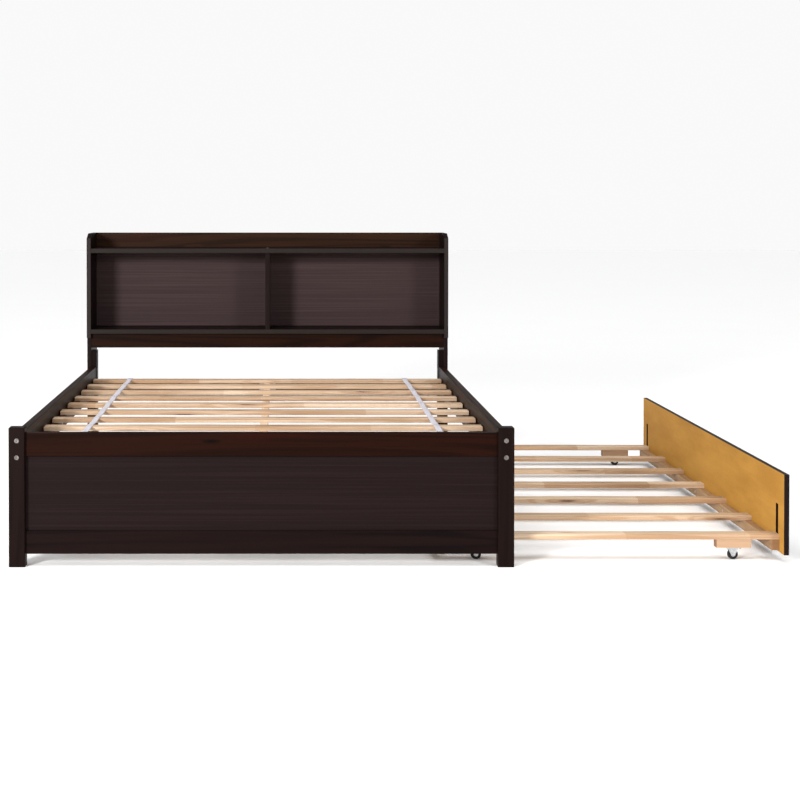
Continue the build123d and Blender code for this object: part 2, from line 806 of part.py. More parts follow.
with BuildPart() as caster_blocks:
    with BuildSketch(Plane.XY.offset(caster_height)):
        with Locations(*all_casters):
            RectangleRounded(block_length, block_width, 1.5)
    extrude(amount=block_height)
save(caster_blocks.part, "caster_blocks")

plate_low = caster_height - plate_sheet
plate_hole_x = plate_length - 2 * plate_hole_inset
plate_hole_y = plate_width - 2 * plate_hole_inset
cheek_offset_y = wheel_width / 2 + fork_play + fork_sheet / 2
cheek_low = wheel_radius - axle_radius - 4
for name, (x, y) in caster_spots.items():
    centre = (at_x(x), at_y(y))
    with BuildPart() as fork:
        with BuildSketch(Plane.XY.offset(plate_low)):
            with Locations(centre):
                RectangleRounded(plate_length, plate_width, 3)
                with GridLocations(plate_hole_x, plate_hole_y, 2, 2):
                    Circle(screw_bore, mode=Mode.SUBTRACT)
        extrude(amount=plate_sheet)
        for way in (-1, 1):
            cheek_face = centre[1] + way * cheek_offset_y + fork_sheet / 2
            with BuildSketch(Plane.XZ.offset(-cheek_face)):
                with BuildLine():
                    Polyline(
                        (centre[0] - axle_radius - 4, wheel_radius),
                        (centre[0] - fork_width / 2 - 5, plate_low),
                        (centre[0] + fork_width / 2 + 5, plate_low),
                        (centre[0] + axle_radius + 4, wheel_radius),
                    )
                    ThreePointArc(
                        (centre[0] + axle_radius + 4, wheel_radius),
                        (centre[0], cheek_low),
                        (centre[0] - axle_radius - 4, wheel_radius),
                    )
                make_face()
                with Locations((centre[0], wheel_radius)):
                    Circle(axle_radius + 0.1, mode=Mode.SUBTRACT)
            extrude(amount=fork_sheet)
    save(fork.part, f"caster_fork_{name}")

    with BuildPart() as wheel:
        with BuildSketch(Plane.XZ.offset(-(centre[1] + wheel_width / 2))):
            with Locations((centre[0], wheel_radius)):
                Circle(wheel_radius)
                Circle(wheel_bore, mode=Mode.SUBTRACT)
        extrude(amount=wheel_width)
        rims = wheel.edges().filter_by(GeomType.CIRCLE).sort_by(SortBy.RADIUS)[-2:]
        fillet(rims, wheel_edge)
    save(wheel.part, f"caster_wheel_{name}")

axle_reach = 2 * (cheek_offset_y + fork_sheet / 2 + axle_overhang)
with BuildPart() as axles:
    for x, y in all_casters:
        with BuildSketch(Plane.XZ.offset(-(y + axle_reach / 2))):
            with Locations((x, wheel_radius)):
                Circle(axle_radius)
        extrude(amount=axle_reach)
        for way in (-1, 1):
            head_face = y + way * (axle_reach / 2 - axle_overhang / 2) + axle_overhang / 2
            with BuildSketch(Plane.XZ.offset(-head_face)):
                with Locations((x, wheel_radius)):
                    Circle(axle_radius + 1.5)
            extrude(amount=axle_overhang)
save(axles.part, "wheel_axles")
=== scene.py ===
# %% [markdown]
# A slatted bed with a bookcase headboard, and a low trundle that rolls out on its right.
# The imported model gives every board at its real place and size, in metres. This lesson
# keeps those boards, gives each one its finish, and rebuilds what a stock solid can't
# show: slats with a little bow, webbing, screws, bolts, staples and moulded wheels.

import json
import math

import bmesh
import bpy
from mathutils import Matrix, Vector

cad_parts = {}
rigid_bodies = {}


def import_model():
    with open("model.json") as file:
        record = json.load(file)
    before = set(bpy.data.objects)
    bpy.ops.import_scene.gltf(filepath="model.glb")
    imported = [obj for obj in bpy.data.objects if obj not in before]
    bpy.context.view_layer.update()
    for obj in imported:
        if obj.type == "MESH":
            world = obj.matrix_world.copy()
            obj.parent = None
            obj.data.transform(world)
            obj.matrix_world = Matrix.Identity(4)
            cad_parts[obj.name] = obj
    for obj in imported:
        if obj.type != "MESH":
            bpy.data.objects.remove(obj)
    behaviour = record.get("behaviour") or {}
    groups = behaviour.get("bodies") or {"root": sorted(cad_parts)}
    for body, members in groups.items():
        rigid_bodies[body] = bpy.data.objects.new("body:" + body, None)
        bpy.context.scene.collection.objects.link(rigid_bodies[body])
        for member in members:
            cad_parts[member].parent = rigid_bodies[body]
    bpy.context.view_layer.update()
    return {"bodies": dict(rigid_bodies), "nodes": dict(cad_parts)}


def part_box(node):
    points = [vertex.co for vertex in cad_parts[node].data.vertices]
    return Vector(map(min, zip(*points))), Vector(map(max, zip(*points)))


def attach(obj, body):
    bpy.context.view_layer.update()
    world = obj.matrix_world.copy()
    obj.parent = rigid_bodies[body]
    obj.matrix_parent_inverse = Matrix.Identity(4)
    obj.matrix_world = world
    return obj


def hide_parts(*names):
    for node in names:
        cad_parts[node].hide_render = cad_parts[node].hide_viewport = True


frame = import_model()
nodes = frame["nodes"]

# %% [markdown]
# Everything is measured from the boxes of the boards. Small helpers read the middle of
# a box and its size, so that no place is typed twice.

# %% Places read from the frame
MM = 0.001


def low(name):
    return Vector(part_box(name)[0])


def high(name):
    return Vector(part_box(name)[1])


def centre(name):
    return (low(name) + high(name)) / 2


def size(name):
    return high(name) - low(name)


bed_x = centre("centre_beam").x
foot_y = low("left_foot_post").y
bed_slat_names = [f"bed_slat_{number:02d}" for number in range(1, 11)]
trundle_slat_names = [f"trundle_slat_{number}" for number in range(1, 8)]
wheel_bodies = sorted(name for name in frame["bodies"] if name.startswith("wheel_"))
print("bed axis x", round(bed_x, 4), "foot y", round(foot_y, 4))

# %% [markdown]
# The view is a long lens from a little right of the bed's middle, at about chest height,
# looking almost level along the bed. Such a view, with the frame shifted and not tilted
# down, keeps the posts upright, as furniture is usually shown.

# %% Camera
CAMERA_RIGHT, CAMERA_BACK, CAMERA_HEIGHT = 0.060, 4.849, 1.045
CAMERA_TILT = math.radians(90 - 1.04)
camera_data = bpy.data.cameras.new("camera")
camera = bpy.data.objects.new("camera", camera_data)
bpy.context.scene.collection.objects.link(camera)
camera.location = (bed_x + CAMERA_RIGHT, foot_y - CAMERA_BACK, CAMERA_HEIGHT)
camera.rotation_euler = (CAMERA_TILT, 0, 0)
camera_data.lens = 76.9
camera_data.sensor_width = 36
camera_data.shift_x = 0.1468
camera_data.shift_y = -0.2107
camera_data.clip_end = 60
bpy.context.scene.camera = camera
print("camera", tuple(round(value, 3) for value in camera.location))

# %% [markdown]
# Every material and every Geometry Nodes tree below is wired in code. One helper adds a
# node, sets its settings and fills its inputs: a socket is linked, anything else is set.

# %% Helpers for node trees
bpy.context.scene.view_settings.view_transform = "Standard"


def node(tree, kind, inputs=None, **settings):
    made = tree.nodes.new(kind)
    for key, value in settings.items():
        setattr(made, key, value)
    for key, value in (inputs or {}).items():
        socket = made.inputs[key]
        if isinstance(value, bpy.types.NodeSocket):
            tree.links.new(value, socket)
        else:
            socket.default_value = value
    return made


def maths(tree, operation, first, second=0.0, clamp=False):
    made = node(tree, "ShaderNodeMath", {0: first, 1: second}, operation=operation, use_clamp=clamp)
    return made.outputs[0]


def times(tree, first, second):
    return maths(tree, "MULTIPLY", first, second)


def plus(tree, first, second):
    return maths(tree, "ADD", first, second)


def axis_of(tree, vector, axis):
    return node(tree, "ShaderNodeSeparateXYZ", {0: vector}).outputs[axis]


print("colours are shown with the", bpy.context.scene.view_settings.view_transform, "transform")

# %% [markdown]
# Colour is built up as a painter would: a ground colour, then one tone after another laid
# over it where a mask says. A mask is a noise squeezed between two limits.

# %% Helpers for materials
def blend_colour(tree, factor, first, second):
    made = node(tree, "ShaderNodeMix", {0: factor, 6: first, 7: second}, data_type="RGBA")
    return made.outputs[2]


def between(tree, value, start, end):
    """0 below start and 1 above end; start may be the larger of the two."""
    made = node(tree, "ShaderNodeMapRange", {0: value, 1: start, 2: end, 3: 0.0, 4: 1.0},
                interpolation_type="SMOOTHSTEP")
    return made.outputs[0]


def lay_over(tree, colour, mask, strength, tone):
    """Lay a tone over a colour where the mask is 1, up to a strength."""
    return blend_colour(tree, times(tree, mask, strength), colour, tone)


def object_place(tree):
    return node(tree, "ShaderNodeTexCoord").outputs["Object"]


def surface_way(tree):
    return node(tree, "ShaderNodeNewGeometry").outputs["Normal"]


def speckle_noise(tree, place, scale, detail):
    made = node(tree, "ShaderNodeTexNoise", {"Vector": place, "Scale": scale, "Detail": detail})
    return made.outputs["Fac"]


def new_material(name):
    material = bpy.data.materials.new(name)
    material.use_nodes = True
    tree = material.node_tree
    tree.nodes.clear()
    shader = node(tree, "ShaderNodeBsdfPrincipled")
    node(tree, "ShaderNodeOutputMaterial", {"Surface": shader.outputs[0]})
    return material, tree, shader


def set_colour(tree, shader, colour):
    tree.links.new(colour, shader.inputs["Base Color"])


def set_roughness(tree, shader, pattern, swing, start):
    """Roughness from start to start + swing, following a pattern."""
    tree.links.new(plus(tree, times(tree, pattern, swing), start), shader.inputs["Roughness"])


def roughen(tree, shader, height, depth, strength=1.0):
    bump = node(tree, "ShaderNodeBump", {"Height": height, "Distance": depth, "Strength": strength})
    tree.links.new(bump.outputs[0], shader.inputs["Normal"])


print("material helpers ready")

# %% [markdown]
# Grain follows the board, so the pattern reads Object coordinates, which are the board's
# own real place, and a turn of them lays the grain along X, Y or Z. Slats made as one mesh
# carry a number for each board, which shifts the pattern so that no two look alike.

# %% Where the grain runs
TURN = {"x": (0, 0, 0), "y": (0, 0, math.radians(-90)), "z": (0, math.radians(90), 0)}
BOARD_SHIFT = (9, 5, 7)


def board_coordinates(tree, along, seed, board_attribute=None):
    start = (seed * 1.7, seed * 0.9, seed * 0.37)
    result = node(tree, "ShaderNodeMapping", {
        "Vector": object_place(tree), "Rotation": TURN[along], "Location": start}).outputs[0]
    if board_attribute:
        number = node(tree, "ShaderNodeAttribute", attribute_name=board_attribute).outputs["Fac"]
        shift = node(tree, "ShaderNodeTexWhiteNoise", {"W": number}, noise_dimensions="1D")
        far = node(tree, "ShaderNodeVectorMath", {0: shift.outputs["Color"], 1: BOARD_SHIFT},
                   operation="MULTIPLY")
        result = node(tree, "ShaderNodeVectorMath", {0: result, 1: far.outputs[0]},
                      operation="ADD").outputs[0]
    return result


def stretched_noise(tree, place, scale, detail=3.0, rough=0.5, twist=0.0):
    squeezed = node(tree, "ShaderNodeMapping", {"Vector": place, "Scale": scale}).outputs[0]
    made = node(tree, "ShaderNodeTexNoise", {
        "Vector": squeezed, "Scale": 1.0, "Detail": detail, "Roughness": rough, "Distortion": twist})
    return made.outputs["Fac"]


print("grain can run along", ", ".join(TURN))

# %% [markdown]
# Some of a board's look depends on which of its faces is seen. A sawn end drinks more
# stain, so it is darker. The upright sides of a slat get painted shade, patchy along it.
# Both are read from the direction of the surface itself. A slat is also glued up from
# short lengths, end to end, and each length has its own tone.

# %% Ends, sides and joints of a board
def sawn_end(tree, along):
    """1 on a board's sawn ends."""
    part = axis_of(tree, surface_way(tree), along.upper())
    return between(tree, maths(tree, "ABSOLUTE", part), 0.7, 0.9)


def upright_face(tree):
    """1 on a board's upright faces and 0 on its top and underside."""
    part = axis_of(tree, surface_way(tree), "Z")
    return between(tree, maths(tree, "ABSOLUTE", part), 0.8, 0.4)


def painted_side_shade(tree, place):
    """Painted shade on the upright faces, uneven along the board."""
    patchy_shade = between(tree, stretched_noise(tree, place, (1.6, 6.0, 6.0), 2.0, 0.5), 0.36, 0.62)
    return times(tree, upright_face(tree), plus(tree, times(tree, patchy_shade, 0.7), 0.3))


def jointed_tone(tree, place, length):
    """A different value for each short length of a board glued up end to end."""
    block = maths(tree, "FLOOR", maths(tree, "DIVIDE", axis_of(tree, place, "X"), length))
    return node(tree, "ShaderNodeTexWhiteNoise", {"W": block}, noise_dimensions="1D").outputs["Value"]


print("masks ready: sawn ends, sides, joints")

# %% [markdown]
# Solid wood is one rule with different numbers. Growth rings show as long wavering bands,
# a knot pushes the bands aside, streaks and fibres darken them, and fine pores break the
# shine. The knots are the cells of a Voronoi pattern that is stretched along the board.

# %% One rule for all solid wood
FULL_TURN = 6.28
RING_PACE = 9.0 * FULL_TURN


def ring_bands(tree, place, near_knot, knot_size, swerve):
    """Growth rings as bands along the board, pushed aside near a knot."""
    push = times(tree, between(tree, near_knot, knot_size * 3.5, 0.0), swerve)
    broad = stretched_noise(tree, place, (0.55, 7.0, 7.0), 2.0, 0.5, 0.6)
    phase = times(tree, plus(tree, broad, push), RING_PACE)
    return between(tree, maths(tree, "SINE", phase), -0.2, 1.0)


def solid_wood(name, along, pale, middle, deep, knot, warm, roughness, seed, gloss, swerve=0.22,
               knot_size=0.10, knots_along=2.6, knots_across=13.0, streaks=0.6, veins=0.0,
               side_shade_strength=0.0, block_length=None, board_attribute=None):
    material, tree, shader = new_material(name)
    place = board_coordinates(tree, along, seed, board_attribute)
    cells = node(tree, "ShaderNodeMapping",
                 {"Vector": place, "Scale": (knots_along, knots_across, knots_across)}).outputs[0]
    spots = node(tree, "ShaderNodeTexVoronoi", {"Vector": cells, "Scale": 1.0, "Randomness": 0.9})
    near_knot = spots.outputs["Distance"]
    rings = ring_bands(tree, place, near_knot, knot_size, swerve)
    fibre = stretched_noise(tree, place, (3.0, 210.0, 210.0), 3.0, 0.62)
    pore = stretched_noise(tree, place, (22.0, 900.0, 900.0), 2.0, 0.6)
    streak = between(tree, stretched_noise(tree, place, (1.1, 46.0, 46.0), 4.0, 0.6), 0.52, 0.78)
    patch = between(tree, stretched_noise(tree, place, (2.0, 10.0, 10.0), 2.0, 0.5), 0.55, 0.78)
    colour = lay_over(tree, pale, rings, 0.75, middle)
    colour = lay_over(tree, colour, patch, 0.7, warm)
    if block_length:
        colour = lay_over(tree, colour, jointed_tone(tree, place, block_length), 0.85, warm)
    colour = lay_over(tree, colour, streak, streaks, deep)
    colour = lay_over(tree, colour, between(tree, fibre, 0.46, 0.7), 0.35, deep)
    if veins:
        vein = between(tree, stretched_noise(tree, place, (0.9, 130.0, 130.0), 3.0, 0.55), 0.57, 0.68)
        colour = lay_over(tree, colour, vein, veins, deep)
    # Painted shade: the upright sides of the slats are darkened, patchily along the board.
    if side_shade_strength:
        colour = lay_over(tree, colour, painted_side_shade(tree, place), side_shade_strength, deep)
    halo = between(tree, near_knot, knot_size * 2.1, knot_size * 0.9)
    colour = lay_over(tree, colour, halo, 0.45, deep)
    heart = between(tree, near_knot, knot_size, knot_size * 0.45)
    colour = blend_colour(tree, heart, colour, knot)
    colour = lay_over(tree, colour, sawn_end(tree, along), 0.55, deep)
    set_colour(tree, shader, colour)
    set_roughness(tree, shader, fibre, 0.22, roughness - 0.11)
    relief = plus(tree, times(tree, fibre, 0.6), times(tree, pore, 0.4))
    relief = plus(tree, relief, times(tree, rings, 0.35))
    roughen(tree, shader, relief, 0.0004, 0.55)
    shader.inputs["Specular IOR Level"].default_value = gloss
    return material


print("wood rule ready, ring pace", round(RING_PACE, 1))

# %% [markdown]
# Two palettes cover the whole bed: pine stained espresso, and bare pine. A board's own
# stain is a palette tinted up or down, because no two boards take stain alike. The
# trundle's rails and the caster blocks are tinted darker still, as painted shade. The posts
# are the coldest and darkest. The slats have more streaks, knots and joints than the
# better boards, since they are cut from the cheapest stock.

# %% The woods of this bed
def tinted(palette, red, green, blue):
    """The same wood with its colours taken up or down."""
    changed = {key: (value[0] * red, value[1] * green, value[2] * blue, 1)
               for key, value in palette.items() if isinstance(value, tuple)}
    return {**palette, **changed}


ESPRESSO = dict(pale=(0.021, 0.0075, 0.0040, 1), middle=(0.0105, 0.0042, 0.0026, 1),
                deep=(0.0040, 0.0020, 0.0015, 1), knot=(0.0015, 0.001, 0.001, 1),
                warm=(0.042, 0.0075, 0.0034, 1), roughness=0.42, gloss=0.03, knot_size=0.05,
                swerve=0.10)
POST = dict(ESPRESSO, pale=(0.0120, 0.0062, 0.0054, 1), middle=(0.0085, 0.0046, 0.0040, 1),
            deep=(0.0045, 0.0026, 0.0023, 1), knot=(0.002, 0.0015, 0.0014, 1),
            warm=(0.0180, 0.0060, 0.0045, 1))
PINE = dict(pale=(0.66, 0.50, 0.34, 1), middle=(0.54, 0.37, 0.23, 1), deep=(0.30, 0.155, 0.07, 1),
            knot=(0.07, 0.026, 0.010, 1), warm=(0.56, 0.345, 0.235, 1), roughness=0.6, gloss=0.3)
# The slats get painted shade on their upright sides.
SLAT = dict(PINE, pale=(0.80, 0.64, 0.48, 1), warm=(0.46, 0.285, 0.160, 1),
            deep=(0.24, 0.115, 0.045, 1), knot_size=0.13, knots_along=2.8, knots_across=26.0,
            streaks=0.85, veins=0.6, side_shade_strength=0.55, block_length=0.36, board_attribute="board")
wood = {
    "foot_top": solid_wood("espresso_foot_top", "x", seed=1.0, **tinted(ESPRESSO, 0.50, 0.33, 0.25)),
    "foot_low": solid_wood("espresso_foot_low", "x", seed=4.3, **tinted(ESPRESSO, 0.33, 0.41, 0.66)),
    "head_top": solid_wood("espresso_head_top", "x", seed=1.6, **tinted(ESPRESSO, 1.10, 1.30, 1.20)),
    "head_low": solid_wood("espresso_head_low", "x", seed=5.2, **tinted(ESPRESSO, 0.66, 0.62, 0.58)),
    "rail_y": solid_wood("espresso_lengthwise", "y", seed=2.1, **tinted(ESPRESSO, 0.80, 0.80, 0.80)),
    "post": solid_wood("espresso_upright", "z", seed=3.3, **tinted(POST, 0.57, 0.52, 0.50)),
    "pine_beam": solid_wood("pine_beam", "y", seed=5.0, **tinted(PINE, 1.15, 1.30, 1.50)),
    # Painted shade: the trundle's rails are tinted darker for the shade they stand in.
    "pine_rail_shaded": solid_wood("pine_trundle_rail_painted_shade", "y", seed=5.6, **tinted(PINE, 0.50, 0.41, 0.30)),
    # Painted shade: the caster blocks are tinted darker for the shade under the slats.
    "pine_block_shaded": solid_wood("pine_block_shaded", "x", seed=6.4, **tinted(PINE, 0.55, 0.46, 0.40)),
    "pine_bed": solid_wood("pine_bed_slats", "x", seed=7.0, **tinted(SLAT, 0.80, 0.78, 0.76)),
    "pine_trundle": solid_wood("pine_trundle_slats", "x", seed=8.6, **tinted(SLAT, 0.88, 0.86, 0.82)),
}
print("woods", len(wood))

# %% [markdown]
# The wide panels and the bookcase are particle board under a printed wood foil. The foil
# has fine straight lines and soft broad tone, and no knots. The front edges are painted a
# lighter grey, a painted sheen for the light they catch, so the shelf fronts look a little
# greyer than their faces.

# %% Foil on board
FOIL_GLOSS = 0.04
SHEEN_START, SHEEN_END = 1.2 * MM, 0.6 * MM


def foil_lines(tree, place):
    return stretched_noise(tree, place, (1.4, 260.0, 260.0), 2.0, 0.55)


def foil(name, along, base, line, roughness, seed, line_strength=0.5, figure=0.7, edge_sheen=None,
         front_y=None):
    material, tree, shader = new_material(name)
    place = board_coordinates(tree, along, seed)
    fine = foil_lines(tree, place)
    coarse = stretched_noise(tree, place, (0.8, 34.0, 34.0), 4.0, 0.6, 0.3)
    broad = stretched_noise(tree, place, (0.5, 3.0, 3.0), 2.0, 0.5)
    dark = tuple(channel * 0.62 for channel in base[:3]) + (1,)
    colour = lay_over(tree, base, between(tree, fine, 0.42, 0.66), line_strength, line)
    colour = lay_over(tree, colour, between(tree, coarse, 0.5, 0.74), figure, dark)
    colour = lay_over(tree, colour, between(tree, broad, 0.4, 0.7), 0.25, dark)
    # Painted sheen: the front edges get a lighter grey for the light they catch.
    if edge_sheen:
        depth = axis_of(tree, object_place(tree), "Y")
        at_front = between(tree, depth, front_y + SHEEN_START, front_y + SHEEN_END)
        colour = blend_colour(tree, at_front, colour, edge_sheen)
    set_colour(tree, shader, colour)
    set_roughness(tree, shader, fine, 0.2, roughness - 0.1)
    shader.inputs["Specular IOR Level"].default_value = FOIL_GLOSS
    roughen(tree, shader, plus(tree, fine, times(tree, coarse, 0.6)), 0.0002, 0.4)
    return material


FOIL_BASE = (0.0074, 0.0036, 0.0034, 1)
FOIL_LINE = (0.0145, 0.0082, 0.0078, 1)
foils = {
    "foot": foil("foil_foot_panel", "x", FOIL_BASE, FOIL_LINE, 0.48, 1.0, 0.4, figure=0.3),
    # The back is the same foil with a lighter, greyer base: painted light and sheen.
    "back": foil("foil_bookcase_back_painted_light", "x", (0.037, 0.0225, 0.0225, 1), (0.067, 0.043, 0.043, 1),
                 0.5, 2.0, 0.45, figure=0.35),
    "shelf": foil("foil_shelf", "x", FOIL_BASE, FOIL_LINE, 0.42, 3.0,
                  edge_sheen=(0.0165, 0.0125, 0.0110, 1), front_y=low("bookcase_top_shelf").y),
    "side": foil("foil_side_panel", "z", FOIL_BASE, FOIL_LINE, 0.42, 4.0,
                 edge_sheen=(0.019, 0.0145, 0.0140, 1), front_y=low("left_head_panel").y),
}
print("foils", len(foils))

# %% [markdown]
# The trundle's front panel is dark foil outside and raw board inside. One material does
# both: it turns to raw board where the surface faces the slats, so the colour belongs to
# the panel and not to the view. Its top and end edges keep the dark band.

# %% Trundle panel, raw inside and dark outside
def raw_board(tree, place, speckle, drawn):
    """Pressed wood fibre: clouds, drawn fibres and pale flecks."""
    cloud = stretched_noise(tree, place, (2.2, 9.0, 9.0), 4.0, 0.6)
    raw = blend_colour(tree, between(tree, cloud, 0.3, 0.7), (0.465, 0.237, 0.046, 1),
                       (0.362, 0.172, 0.030, 1))
    raw = lay_over(tree, raw, between(tree, drawn, 0.5, 0.75), 0.3, (0.38, 0.17, 0.032, 1))
    return lay_over(tree, raw, between(tree, speckle, 0.55, 0.75), 0.25, (0.70, 0.43, 0.14, 1))


def raw_and_foil(name, inner_x):
    material, tree, shader = new_material(name)
    place = board_coordinates(tree, "y", 9.0)
    speckle = speckle_noise(tree, place, 240.0, 3.0)
    drawn = stretched_noise(tree, place, (2.0, 120.0, 120.0), 3.0, 0.6)
    raw = raw_board(tree, place, speckle, drawn)
    lines = between(tree, foil_lines(tree, place), 0.42, 0.66)
    dark = blend_colour(tree, lines, FOIL_BASE, (0.0120, 0.0066, 0.0062, 1))
    depth = maths(tree, "SUBTRACT", axis_of(tree, object_place(tree), "X"), inner_x)
    faces_in = between(tree, axis_of(tree, surface_way(tree), "X"), -0.6, -0.85)
    inside = times(tree, faces_in, between(tree, depth, 1.2 * MM, 0.4 * MM))
    set_colour(tree, shader, blend_colour(tree, inside, dark, raw))
    set_roughness(tree, shader, inside, 0.22, 0.42)
    shader.inputs["Specular IOR Level"].default_value = FOIL_GLOSS
    roughen(tree, shader, plus(tree, speckle, drawn), 0.00025, 0.5)
    return material


panel_finish = raw_and_foil("raw_board_and_foil", low("trundle_front_panel").x)
print("panel turns from raw to foil at x", round(low("trundle_front_panel").x, 4))

# %% [markdown]
# Metal and moulded plastic. Plated steel isn't one grey: fine turning or rolling marks
# vary its gloss, and zinc has a faint cloud. The wheels are black plastic with a faint
# dusty bloom.

# %% Metal and plastic
def metal(name, colour, shade, roughness, scratch=(900, 60, 60)):
    material, tree, shader = new_material(name)
    place = object_place(tree)
    cloud = speckle_noise(tree, place, 160.0, 2.0)
    marks = stretched_noise(tree, place, scratch, 2.0, 0.7)
    set_colour(tree, shader, blend_colour(tree, between(tree, cloud, 0.35, 0.7), colour, shade))
    set_roughness(tree, shader, marks, 0.25, roughness - 0.1)
    shader.inputs["Metallic"].default_value = 1.0
    roughen(tree, shader, marks, 0.00008, 0.5)
    return material


def moulded(name, colour, dusty, roughness):
    material, tree, shader = new_material(name)
    place = object_place(tree)
    grain = speckle_noise(tree, place, 1400.0, 2.0)
    dust = speckle_noise(tree, place, 220.0, 4.0)
    set_colour(tree, shader, lay_over(tree, colour, between(tree, dust, 0.5, 0.75), 0.5, dusty))
    set_roughness(tree, shader, dust, 0.3, roughness - 0.15)
    shader.inputs["Specular IOR Level"].default_value = 0.2
    roughen(tree, shader, grain, 0.0001, 0.4)
    return material


steel = metal("nickel_steel", (0.50, 0.485, 0.47, 1), (0.38, 0.37, 0.36, 1), 0.34)
dark_steel = metal("dark_nickel_steel", (0.20, 0.18, 0.165, 1), (0.11, 0.10, 0.09, 1), 0.3)
zinc = metal("zinc_sheet", (0.50, 0.505, 0.52, 1), (0.36, 0.37, 0.385, 1), 0.4, (90, 700, 700))
black_plastic = moulded("black_wheel_plastic", (0.009, 0.009, 0.010, 1), (0.028, 0.027, 0.026, 1),
                        0.45)
print("metals and plastic", [material.name for material in (steel, dark_steel, zinc, black_plastic)])

# %% [markdown]
# Webbing is woven tape, so its weave follows the tape and not the room. Its mesh gets a
# UV map in centimetres, and the material draws warp and weft from that map.

# %% Webbing
WARP_PACE, WEFT_PACE = 34.0, 26.0


def threads(tree, along, pace):
    return maths(tree, "ABSOLUTE", maths(tree, "SINE", times(tree, along, pace)))


def webbing_material(name):
    material, tree, shader = new_material(name)
    uv = node(tree, "ShaderNodeUVMap", uv_map="tape").outputs[0]
    across, along = axis_of(tree, uv, "X"), axis_of(tree, uv, "Y")
    slant = plus(tree, along, times(tree, across, 0.5))
    weave = times(tree, threads(tree, across, WARP_PACE), threads(tree, slant, WEFT_PACE))
    fuzz = speckle_noise(tree, uv, 3.0, 5.0)
    colour = blend_colour(tree, weave, (0.36, 0.335, 0.385, 1), (0.58, 0.55, 0.61, 1))
    colour = lay_over(tree, colour, between(tree, fuzz, 0.5, 0.7), 0.3, (0.68, 0.66, 0.70, 1))
    set_colour(tree, shader, colour)
    shader.inputs["Roughness"].default_value = 0.7
    shader.inputs["Sheen Weight"].default_value = 0.3
    roughen(tree, shader, weave, 0.0003, 0.8)
    return material


webbing = webbing_material("woven_tape")
print("webbing", webbing.name)

# %% [markdown]
# Each board from the model keeps its mesh and takes a finish. Naming the finish by board
# keeps the grain running the right way: along a rail, up a post, across a shelf.

# %% Finish every board
finish_of = {
    "left_foot_post": wood["post"], "right_foot_post": wood["post"],
    "left_leg_block": wood["post"], "right_leg_block": wood["post"],
    "foot_top_rail": wood["foot_top"], "headboard_top_rail": wood["head_top"],
    "foot_bottom_rail": wood["foot_low"], "headboard_apron": wood["head_low"],
    "head_cross_rail": wood["head_low"],
    "left_side_rail": wood["rail_y"], "right_side_rail": wood["rail_y"],
    "left_slat_cleat": wood["rail_y"], "right_slat_cleat": wood["rail_y"],
    "centre_beam": wood["pine_beam"],
    "trundle_front_rail": wood["pine_rail_shaded"], "trundle_rear_rail": wood["pine_rail_shaded"],
    "caster_blocks": wood["pine_block_shaded"],
    "foot_panel": foils["foot"], "bookcase_back": foils["back"],
    "bookcase_top_shelf": foils["shelf"], "bookcase_lower_shelf": foils["shelf"],
    "bookcase_divider": foils["side"],
    "left_head_panel": foils["side"], "right_head_panel": foils["side"],
    "trundle_front_panel": panel_finish,
    "beam_saddles": zinc, "rail_inserts": steel, "wheel_axles": steel,
}
for name in nodes:
    if name.startswith("caster_fork"):
        finish_of[name] = zinc
for name, material in finish_of.items():
    nodes[name].data.materials.clear()
    nodes[name].data.materials.append(material)
print("boards finished", len(finish_of))

# %% [markdown]
# A Geometry Nodes tree is a small machine: named inputs go in and a mesh comes out. This
# helper makes an empty tree with such inputs. A second helper runs a tree on a mesh of
# points, keeps the result as a plain mesh and throws the machine away, because a plain
# mesh is what travels with the model.

# %% Helpers for Geometry Nodes
SOCKET = {"float": "NodeSocketFloat", "int": "NodeSocketInt", "vector": "NodeSocketVector",
          "material": "NodeSocketMaterial"}


def new_tree(name, inputs):
    tree = bpy.data.node_groups.new(name, "GeometryNodeTree")
    tree.interface.new_socket("Points", in_out="INPUT", socket_type="NodeSocketGeometry")
    for label, kind in inputs.items():
        tree.interface.new_socket(label, in_out="INPUT", socket_type=SOCKET[kind])
    tree.interface.new_socket("Mesh", in_out="OUTPUT", socket_type="NodeSocketGeometry")
    return tree, node(tree, "NodeGroupInput").outputs


def close_tree(tree, geometry, material):
    """Shade smooth but keep real corners crisp, give the material and close the tree."""
    smooth = node(tree, "GeometryNodeSetShadeSmooth", {0: geometry}, domain="FACE").outputs[0]
    bend = node(tree, "GeometryNodeInputMeshEdgeAngle").outputs[0]
    sharp = node(tree, "FunctionNodeCompare", {0: bend, 1: math.radians(32)},
                 data_type="FLOAT", operation="GREATER_THAN").outputs[0]
    crisp = node(tree, "GeometryNodeSetShadeSmooth",
                 {"Geometry": smooth, "Selection": sharp, "Shade Smooth": False}, domain="EDGE").outputs[0]
    painted = node(tree, "GeometryNodeSetMaterial", {"Geometry": crisp, "Material": material}).outputs[0]
    node(tree, "NodeGroupOutput", {0: painted})


